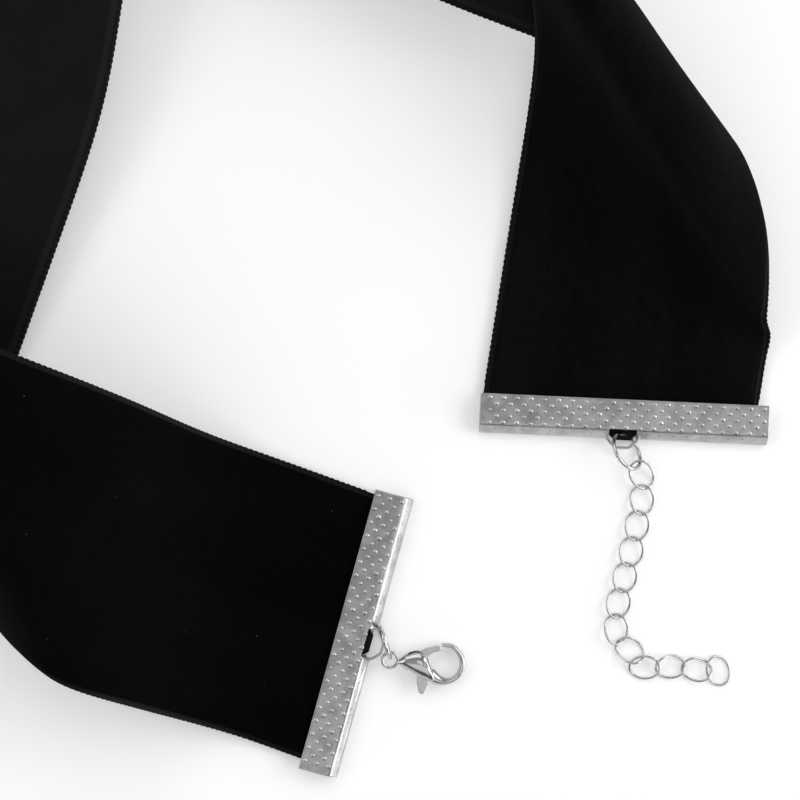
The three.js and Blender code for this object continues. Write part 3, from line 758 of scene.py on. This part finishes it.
def make_rivets(metal):
    """The two heads of the lever's pin, just proud of the body."""
    around = 32
    profile = [(0.42, 1.0), (0.42, 1.28), (0.36, 1.33), (0.2, 1.36)]
    angles = np.linspace(0, 2 * math.pi, around, endpoint=False)
    points, faces = [], []
    for side in (1, -1):
        start = len(points)
        for reach, rise in profile:
            for angle in angles:
                points.append((reach * math.cos(angle), reach * math.sin(angle), side * rise))
        for ring in range(len(profile) - 1):
            first = start + ring * around
            for k in range(around):
                p, q = first + k, first + (k + 1) % around
                quad = [p, q, q + around, p + around]
                faces.append(quad if side > 0 else quad[::-1])
        cap = [start + (len(profile) - 1) * around + k for k in range(around)]
        faces.append(cap if side > 0 else cap[::-1])
    return make_object("lever_pin", clasp_to_plan(points), faces, [metal])


def make_lever(metal):
    """The sprung lever, a flat plate from its finger to its thumb tab."""
    outline = curve_through(LEVER_OUTLINE, 120, closed=True)
    count = len(outline)
    low = np.column_stack([outline, np.full(count, -LEVER_THICK / 2)])
    high = np.column_stack([outline, np.full(count, LEVER_THICK / 2)])
    points = np.concatenate([low, high])
    faces = [[k, (k + 1) % count, (k + 1) % count + count, k + count] for k in range(count)]
    faces = [face[::-1] for face in faces]
    faces.append(list(range(count)))
    faces.append([k + count for k in range(count)][::-1])
    lever = make_object("lever_plate", clasp_to_plan(points), faces, [metal])
    lever.data.set_sharp_from_angle(angle=math.radians(40))
    round_corners(lever, 0.14, 3)
    return lever


# ---- materials ----
class Value:
    """A number from a shader socket that can be used in ordinary sums."""

    def __init__(self, paint, socket):
        self.paint = paint
        self.socket = socket

    def sum(self, operation, other, swapped=False):
        pair = (other, self) if swapped else (self, other)
        return self.paint.math(operation, *pair)

    def __add__(self, other):
        return self.sum("ADD", other)

    __radd__ = __add__

    def __sub__(self, other):
        return self.sum("SUBTRACT", other)

    def __rsub__(self, other):
        return self.sum("SUBTRACT", other, swapped=True)

    def __mul__(self, other):
        return self.sum("MULTIPLY", other)

    __rmul__ = __mul__

    def __truediv__(self, other):
        return self.sum("DIVIDE", other)

    def __rtruediv__(self, other):
        return self.sum("DIVIDE", other, swapped=True)


class Paint:
    """A material and the nodes that make it."""

    def __init__(self, name):
        self.material = bpy.data.materials.new(name)
        self.material.use_nodes = True
        self.tree = self.material.node_tree
        self.surface = self.tree.nodes["Principled BSDF"]

    def node(self, kind, settings=None, inputs=None):
        """Any node: settings first, then each input gets a value or a link."""
        made = self.tree.nodes.new(kind)
        for key, value in (settings or {}).items():
            setattr(made, key, value)
        for key, value in (inputs or {}).items():
            self.feed(made.inputs[key], value)
        return made

    def feed(self, socket, value):
        if isinstance(value, Value):
            self.tree.links.new(value.socket, socket)
        elif isinstance(value, bpy.types.NodeSocket):
            self.tree.links.new(value, socket)
        else:
            socket.default_value = value

    def math(self, operation, first, second=0.0, third=0.0):
        inputs = {0: first, 1: second, 2: third}
        made = self.node("ShaderNodeMath", {"operation": operation}, inputs)
        return Value(self, made.outputs[0])

    def step(self, value, low, high):
        """0 below `low`, 1 above `high`, smooth between."""
        made = self.node("ShaderNodeMapRange", {"interpolation_type": "SMOOTHSTEP"},
                         {"Value": value, "From Min": low, "From Max": high})
        return Value(self, made.outputs[0])

    def colour(self, share, first, second):
        """From the first colour to the second."""
        made = self.node("ShaderNodeMix", {"data_type": "RGBA"},
                         {0: share, 6: (*first, 1.0) if isinstance(first, tuple) else first,
                          7: (*second, 1.0) if isinstance(second, tuple) else second})
        return made.outputs[2]

    def place(self, scale=(1.0, 1.0, 1.0)):
        """The point on the object in millimetres, stretched by `scale`."""
        at = self.node("ShaderNodeTexCoord").outputs["Object"]
        return self.node("ShaderNodeVectorMath", {"operation": "MULTIPLY"},
                         {0: at, 1: tuple(1000.0 * s for s in scale)}).outputs[0]

    def cloth(self):
        """The place on the flat ribbon: mm along it and mm across it."""
        at = self.node("ShaderNodeUVMap", {"uv_map": "cloth"}).outputs[0]
        split = self.node("ShaderNodeSeparateXYZ", None, {0: at})
        return Value(self, split.outputs[0]), Value(self, split.outputs[1])

    def joined(self, x, y, z=0.0):
        return self.node("ShaderNodeCombineXYZ", None, {0: x, 1: y, 2: z}).outputs[0]

    def noise(self, vector, scale, detail=2.0, roughness=0.5):
        made = self.node("ShaderNodeTexNoise", None,
                         {"Vector": vector, "Scale": scale, "Detail": detail,
                          "Roughness": roughness})
        return Value(self, made.outputs[0])

    def specks(self, vector, scale, size):
        """1 on scattered small spots, 0 elsewhere."""
        made = self.node("ShaderNodeTexVoronoi", None, {"Vector": vector, "Scale": scale})
        return 1.0 - self.step(Value(self, made.outputs["Distance"]), size * 0.6, size)

    def wave(self, phase):
        """A soft ridge every 1 of `phase`, between -1 and 1."""
        return self.math("SINE", phase * (2 * math.pi))

    def bump(self, height, depth_mm, strength=1.0):
        made = self.node("ShaderNodeBump", None,
                         {"Strength": strength, "Distance": depth_mm * MM, "Height": height})
        self.feed(self.surface.inputs["Normal"], made.outputs[0])

    def set(self, **values):
        for key, value in values.items():
            self.feed(self.surface.inputs[key.replace("_", " ")], value)
        return self


def velvet_paint():
    paint = Paint("black velvet")
    along, across = paint.cloth()
    cloth = paint.joined(along, across)
    nap = paint.noise(paint.joined(along * 0.35, across), 0.09, 3.0)
    brushed = paint.noise(paint.joined(along * 0.5, across), 1.1, 3.0, 0.6)
    pile = paint.noise(paint.place(), 7.5, 4.0, 0.7)
    patchy = paint.step(nap * 0.6 + brushed * 0.4, 0.35, 0.66)
    # Painted shade and painted light: a shaded tone for the left end and a lit tone for the right
    # end of the ribbon.
    away = paint.colour(patchy, (0.0007, 0.0007, 0.0008), (0.0020, 0.0020, 0.0022))
    toward = paint.colour(patchy, (0.0019, 0.0019, 0.0020), (0.0048, 0.0048, 0.0051))
    # Painted light: the velvet's sheen is painted into its base colour. It is darker at the left
    # clamp's end and lighter toward the right clamp's end, because the leaning pile takes the light
    # differently at its two ends.
    dark = paint.colour(paint.step(along, 110.0, 215.0), away, toward)
    tips = paint.colour(paint.step(pile, 0.5, 0.78), dark, (0.006, 0.006, 0.0064))
    dust = paint.specks(cloth, 0.42, 0.035) * paint.step(paint.noise(cloth, 0.37, 1.0), 0.5, 0.56)
    paint.bump(pile + brushed * 0.8, 0.16, 0.8)
    return paint.set(Base_Color=paint.colour(dust, tips, (0.16, 0.16, 0.16)), Roughness=0.86,
                     Specular_IOR_Level=0.03, Sheen_Weight=0.018, Sheen_Roughness=0.4,
                     Sheen_Tint=(0.62, 0.62, 0.66, 1.0)).material


def satin_paint():
    paint = Paint("black satin back")
    along, across = paint.cloth()
    ribs = paint.wave(along / 0.34 + across * 0.12)
    twill = paint.wave(along / 0.62 + across / 0.55)
    threads = paint.noise(paint.joined(along * 0.4, across * 3.0), 1.6, 3.0, 0.6)
    patches = paint.noise(paint.joined(along, across), 0.16, 3.0)
    weave = ribs * 0.5 + twill * 0.3 + threads * 0.9
    edge = paint.step(paint.math("ABSOLUTE", across), 17.3, 17.6)
    tone = paint.colour(paint.step(threads * 0.6 + patches * 0.4, 0.38, 0.62),
                        (0.0014, 0.0014, 0.0015), (0.0036, 0.0036, 0.0038))
    paint.bump(weave, 0.03, 0.55)
    return paint.set(Base_Color=paint.colour(edge * 0.5, tone, (0.014, 0.014, 0.0145)),
                     Roughness=paint.math("MULTIPLY_ADD", patches, 0.14, 0.42),
                     Specular_IOR_Level=0.14, Sheen_Weight=0.01).material


def selvedge_paint():
    paint = Paint("woven edge")
    along, _ = paint.cloth()
    stitches = paint.wave(along / 0.8)
    threads = paint.noise(paint.place(), 5.0, 3.0, 0.6)
    tone = paint.colour(paint.step(stitches * 0.3 + threads, 0.3, 0.8),
                        (0.0012, 0.0012, 0.0013), (0.0042, 0.0042, 0.0044))
    paint.bump(stitches * 0.5 + threads, 0.06, 0.7)
    return paint.set(Base_Color=tone, Roughness=0.65, Specular_IOR_Level=0.15).material


def thread_paint():
    paint = Paint("edge thread")
    threads = paint.noise(paint.place(), 6.0, 3.0, 0.6)
    paint.bump(threads, 0.05, 0.7)
    tone = paint.colour(threads, (0.0012, 0.0012, 0.0013), (0.0045, 0.0045, 0.0047))
    return paint.set(Base_Color=tone, Roughness=0.66, Specular_IOR_Level=0.15).material


def nickel_paint():
    paint = Paint("satin nickel")
    cloudy = paint.noise(paint.place(), 0.45, 3.0, 0.55)
    grain = paint.noise(paint.place(), 9.0, 3.0, 0.6)
    scuffs = paint.noise(paint.place((3.2, 0.5, 1.0)), 1.5, 4.0, 0.7)
    worn = paint.step(scuffs, 0.58, 0.74)
    tone = paint.colour(paint.step(cloudy, 0.35, 0.65), (0.38, 0.38, 0.376), (0.52, 0.52, 0.514))
    paint.bump(grain * 0.5 + cloudy * 2.0, 0.025, 0.6)
    return paint.set(Base_Color=paint.colour(worn * 0.5, tone, (0.72, 0.72, 0.71)), Metallic=1.0,
                     Roughness=paint.math("MULTIPLY_ADD", cloudy, 0.2, 0.2)).material


def bright_paint():
    paint = Paint("polished plate")
    cloudy = paint.noise(paint.place(), 0.8, 2.0)
    grain = paint.noise(paint.place(), 14.0, 3.0, 0.6)
    tone = paint.colour(cloudy, (0.47, 0.47, 0.465), (0.6, 0.6, 0.595))
    paint.bump(grain + cloudy, 0.012, 0.35)
    return paint.set(Base_Color=tone, Metallic=1.0,
                     Roughness=paint.math("MULTIPLY_ADD", grain, 0.1, 0.08)).material


def table_paint():
    paint = Paint("pale table")
    mottle = paint.noise(paint.place(), 0.02, 2.0)
    return paint.set(Base_Color=paint.colour(mottle, (0.9, 0.9, 0.9), (0.94, 0.94, 0.94)),
                     Roughness=0.7, Specular_IOR_Level=0.1, Emission_Color=(1.0, 1.0, 1.0, 1.0),
                     Emission_Strength=0.22).material


# ---- stage ----
def make_table(paint):
    size = 2500.0
    points = [(-size, -size, 0), (size, -size, 0), (size, size, 0), (-size, size, 0)]
    floor = make_object("table", np.array(points) - SHIFT * [0, 0, 1], [[0, 1, 2, 3]], [paint])


def add_softbox(name, azimuth, elevation, distance, width, height, power, aim):
    data = bpy.data.lights.new(name, "AREA")
    data.shape = "RECTANGLE"
    data.size, data.size_y = width, height
    data.energy = power
    lamp = bpy.data.objects.new(name, data)
    away = Vector((math.cos(elevation) * math.cos(azimuth), math.cos(elevation) * math.sin(azimuth),
                   math.sin(elevation)))
    lamp.location = aim + away * distance
    lamp.rotation_mode = "QUATERNION"
    lamp.rotation_quaternion = away.to_track_quat("Z", "Y")
    lamp.visible_camera = False
    bpy.context.scene.collection.objects.link(lamp)


def light_stage(aim):
    """Softboxes on every side, in a room with pale walls, dark screens above and a grey ceiling."""
    rows = [
        dict(name="right box", azimuth=10, elevation=38, width=0.5, height=0.3, power=1.5),
        dict(name="left box", azimuth=170, elevation=42, width=0.5, height=0.3, power=0.8),
        dict(name="far box", azimuth=95, elevation=45, width=0.6, height=0.3, power=0.8),
        dict(name="near box", azimuth=-80, elevation=62, width=0.5, height=0.3, power=0.3),
        dict(name="low right box", azimuth=-14, elevation=7, width=0.5, height=0.14, power=1.0),
        dict(name="top box", azimuth=4, elevation=75, width=0.22, height=0.1, power=0.05),
    ]
    for row in rows:
        add_softbox(row["name"], math.radians(row["azimuth"]), math.radians(row["elevation"]), 0.62,
                    row["width"], row["height"], row["power"], aim)
    world = bpy.data.worlds.new("studio")
    bpy.context.scene.world = world
    world.use_nodes = True
    nodes, links = world.node_tree.nodes, world.node_tree.links
    place = nodes.new("ShaderNodeTexCoord")
    split = nodes.new("ShaderNodeSeparateXYZ")
    bands = nodes.new("ShaderNodeValToRGB")
    heights = [
        (0.0, 0.5), (0.14, 1.0), (0.36, 1.0), (0.5, 0.1), (0.78, 0.16), (0.92, 0.42), (1.0, 0.48),
    ]
    ramp = bands.color_ramp
    for place_up, _ in heights[1:-1]:
        ramp.elements.new(place_up)
    for element, (place_up, bright) in zip(ramp.elements, heights):
        element.position = place_up
        element.color = (bright, bright, bright, 1.0)
    links.new(place.outputs["Generated"], split.inputs[0])
    links.new(split.outputs[2], bands.inputs[0])
    links.new(bands.outputs[0], nodes["Background"].inputs["Color"])
    nodes["Background"].inputs["Strength"].default_value = 0.9


def set_camera():
    """Straight down from 280 mm over the plan's origin."""
    height, half_view = 280.0, 55.8
    data = bpy.data.cameras.new("camera")
    data.sensor_width = 36.0
    data.lens = 36.0 / 2 * height / half_view
    data.clip_start, data.clip_end = 0.01, 20.0
    camera = bpy.data.objects.new("camera", data)
    camera.location = Vector((SHIFT[0] * MM, SHIFT[1] * MM, height * MM))
    bpy.context.scene.collection.objects.link(camera)
    bpy.context.scene.camera = camera


def join(name, things):
    """One object from several, so that each CAD piece has one stand-in."""
    for thing in things:
        if thing.modifiers:
            apply_modifiers(thing)
    with bpy.context.temp_override(active_object=things[0], selected_editable_objects=things):
        bpy.ops.object.join()
    things[0].name = name
    return things[0]


def hand_over(thing, body, slot, *nodes):
    """Ties a thing to its body and hides the CAD nodes it stands for. slot is not used."""
    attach(thing, body)
    if nodes:
        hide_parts(*nodes)


# ---- build ----
def build():
    velvet, satin = velvet_paint(), satin_paint()
    selvedge, thread = selvedge_paint(), thread_paint()
    nickel, bright = nickel_paint(), bright_paint()

    ribbon, moved, normal = make_ribbon(velvet, satin, selvedge)
    hand_over(ribbon, "choker", "velvet", "ribbon")
    loops = join("edge_loops", [
        make_edge_loops(moved, normal, thread),
        make_ribbon_end("left_raw_end", LEFT_CLAMP, -5.1, thread),
        make_ribbon_end("right_raw_end", RIGHT_CLAMP, -5.7, thread),
    ])
    hand_over(loops, "choker", "velvet")

    clamps = [
        ("clamp_left", LEFT_CLAMP, [
            dict(x=-2.0, y=6.0, wide=4.5, deep=-0.06), dict(x=-1.0, y=-9.0, wide=5.0, deep=0.05),
            dict(x=-3.0, y=14.0, wide=3.0, deep=-0.05), dict(x=-3.0, y=0.5, wide=2.2, deep=-0.06),
        ]),
        ("clamp_right", RIGHT_CLAMP, [
            dict(x=-2.0, y=-8.0, wide=4.0, deep=-0.06), dict(x=-1.5, y=9.0, wide=5.0, deep=0.04),
            dict(x=-3.0, y=2.5, wide=2.5, deep=-0.05), dict(x=-1.0, y=16.0, wide=3.0, deep=-0.05),
        ]),
    ]
    for name, place, dents in clamps:
        whole = join(name + "_shell", [
            make_clamp_sheet(name + "_sheet", place, dents, nickel),
            make_bail(name + "_bail", place, nickel),
            make_dots(name + "_dots", place, dents, nickel),
        ])
        hand_over(whole, "choker", "clamp_metal", name)

    chain_long = flat_direction(-45) + np.array([0, 0, -0.274])
    chain_low = flat_direction(45) + np.array([0, 0, -1.28])
    ring = make_jump_ring("chain_ring", CHAIN_RING, chain_long, chain_low, 250, bright)
    hand_over(ring, "choker", "bright_metal", "jump_ring_chain")
    ring = make_jump_ring("clasp_ring", CLASP_RING, flat_direction(-71.6),
                          np.array([0.0, 0.0, -1.0]), 215, bright)
    hand_over(ring, "choker", "bright_metal", "jump_ring_clasp")
    for number, (row, pose) in enumerate(zip(LINKS, settled_poses()), start=1):
        link = make_link(f"link_{number:02d}", row, pose, bright)
        hand_over(link, "choker", "bright_metal", f"chain_link_{number:02d}")

    clasp = join("clasp_shell", [
        make_clasp_part("clasp_dome", BODY_SECTIONS, True, bright),
        make_clasp_part("clasp_hook", HOOK_SECTIONS, False, bright),
        make_eye(bright),
        make_rivets(bright),
    ])
    hand_over(clasp, "choker", "bright_metal", "clasp_body")
    hand_over(make_lever(bright), "lever", "bright_metal", "clasp_lever")

    make_table(table_paint())
    light_stage(Vector((SHIFT[0] * MM, SHIFT[1] * MM, 0.0)))
    set_camera()
    view = bpy.context.scene.view_settings
    view.view_transform = "Standard"
    view.look = "None"
    view.exposure = 0.0


build()
